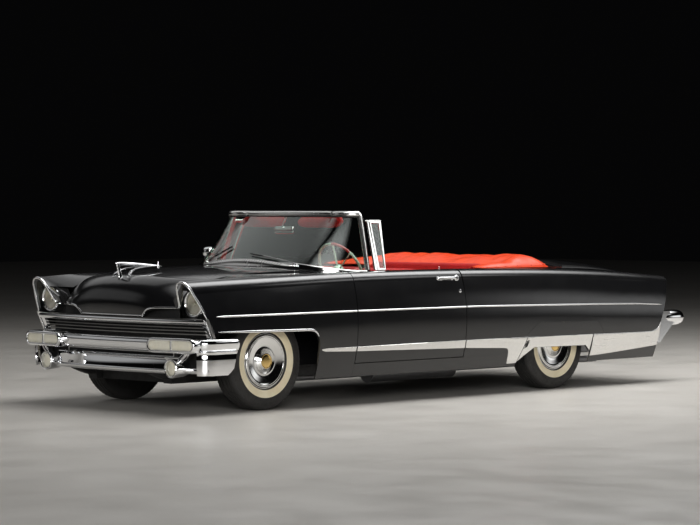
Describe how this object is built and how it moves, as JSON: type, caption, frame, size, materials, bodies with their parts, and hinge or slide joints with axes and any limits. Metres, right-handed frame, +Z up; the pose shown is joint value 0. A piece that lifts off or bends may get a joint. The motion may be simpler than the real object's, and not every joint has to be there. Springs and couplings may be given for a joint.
{
  "type": "1950s convertible car",
  "caption": "Full-size open convertible with wraparound windshield, skirted rear wheels, opening doors, hood and boot lid, steered front wheels and rolling tyres.",
  "frame": {"origin": "on the ground under the middle of the car's length and width", "axes": "+X forward, +Y to the car's left, +Z up"},
  "size_m": [5.66, 2.025, 1.45],
  "materials": {
    "body_paint": "gloss black",
    "chassis_paint": "satin black",
    "chrome": "polished",
    "wheel_cover": "polished with a plain gold centre",
    "glass": "green tinted",
    "lamp_lens": "pale cream",
    "red_lens": "clear red",
    "upholstery": "red, padded",
    "boot_vinyl": "glossy red",
    "dash_paint": "red",
    "steering_plastic": "pale green",
    "tyre": "black with a cream band",
    "cast_iron": "as cast",
    "steel": "plain"
  },
  "bodies": {
    "body": {"boot_cover": "boot_vinyl", "cowl": "body_paint", "dashboard": "dash_paint", "driveline": "steel", "engine_block": "cast_iron", "exhaust": "steel", "fender_left": "body_paint", "fender_right": "body_paint", "floor_pan": "body_paint", "frame": "chassis_paint", "front_arms": "steel", "front_bumper": "chrome", "front_lamps": "lamp_lens", "front_panel": "chassis_paint", "front_seat": "upholstery", "fuel_tank": "steel", "grilles": "chrome", "headlight_bezels": "chrome", "headlight_buckets": "chassis_paint", "quarter_left": "body_paint", "quarter_right": "body_paint", "rear_axle": "cast_iron", "rear_bumper": "chrome", "rear_deck": "body_paint", "rear_seat": "upholstery", "steering_column": "steering_plastic", "tail_lamps": "red_lens", "tail_panel": "body_paint", "wheel_skirts": "body_paint", "windshield_frame": "chrome", "windshield_glass": "glass"},
    "hood": {"hood": "body_paint"},
    "trunk": {"trunk_lid": "body_paint"},
    "left_door": {"door_left": "body_paint", "vent_frame_left": "chrome", "vent_glass_left": "glass"},
    "right_door": {"door_right": "body_paint", "vent_frame_right": "chrome", "vent_glass_right": "glass"},
    "left_knuckle": {"knuckle_left": "steel"},
    "right_knuckle": {"knuckle_right": "steel"},
    "front_left_wheel": {"tyre_front_left": "tyre", "wheel_front_left": "wheel_cover"},
    "front_right_wheel": {"tyre_front_right": "tyre", "wheel_front_right": "wheel_cover"},
    "rear_left_wheel": {"tyre_rear_left": "tyre", "wheel_rear_left": "wheel_cover"},
    "rear_right_wheel": {"tyre_rear_right": "tyre", "wheel_rear_right": "wheel_cover"},
    "steering": {"steering_wheel": "steering_plastic"}
  },
  "joints": [
    {"name": "left_door_hinge", "type": "hinge", "parent": "body", "child": "left_door", "pos_m": [1.16, 1.005, 0.65], "axis": [0, 0, -1], "range_deg": [0, 65]},
    {"name": "right_door_hinge", "type": "hinge", "parent": "body", "child": "right_door", "pos_m": [1.16, -1.005, 0.65], "axis": [0, 0, 1], "range_deg": [0, 65]},
    {"name": "hood_hinge", "type": "hinge", "parent": "body", "child": "hood", "pos_m": [1.512, 0, 1.035], "axis": [0, -1, 0], "range_deg": [0, 50]},
    {"name": "trunk_hinge", "type": "hinge", "parent": "body", "child": "trunk", "pos_m": [-1.572, 0, 1.05], "axis": [0, 1, 0], "range_deg": [0, 65]},
    {"name": "left_steer", "type": "hinge", "parent": "body", "child": "left_knuckle", "pos_m": [1.97, 0.683, 0.348], "axis": [0, 0, 1], "range_deg": [-28, 28]},
    {"name": "right_steer", "type": "hinge", "parent": "body", "child": "right_knuckle", "pos_m": [1.97, -0.683, 0.348], "axis": [0, 0, 1], "range_deg": [-29, 29]},
    {"name": "steering_wheel_turn", "type": "hinge", "parent": "body", "child": "steering", "pos_m": [0.77, 0.4, 1.005], "axis": [-0.8829, 0, 0.4695], "range_deg": [-510, 510]},
    {"name": "front_left_spin", "type": "hinge", "parent": "left_knuckle", "child": "front_left_wheel", "pos_m": [1.97, 0.743, 0.36], "axis": [0, 1, 0], "continuous": true},
    {"name": "front_right_spin", "type": "hinge", "parent": "right_knuckle", "child": "front_right_wheel", "pos_m": [1.97, -0.743, 0.36], "axis": [0, 1, 0], "continuous": true},
    {"name": "rear_left_spin", "type": "hinge", "parent": "body", "child": "rear_left_wheel", "pos_m": [-1.23, 0.762, 0.36], "axis": [0, 1, 0], "continuous": true},
    {"name": "rear_right_spin", "type": "hinge", "parent": "body", "child": "rear_right_wheel", "pos_m": [-1.23, -0.762, 0.36], "axis": [0, 1, 0], "continuous": true}
  ],
  "couplings": [
    {"joint": "right_steer", "follows": "left_steer", "ratio": 1},
    {"joint": "steering_wheel_turn", "follows": "left_steer", "ratio": 18}
  ]
}
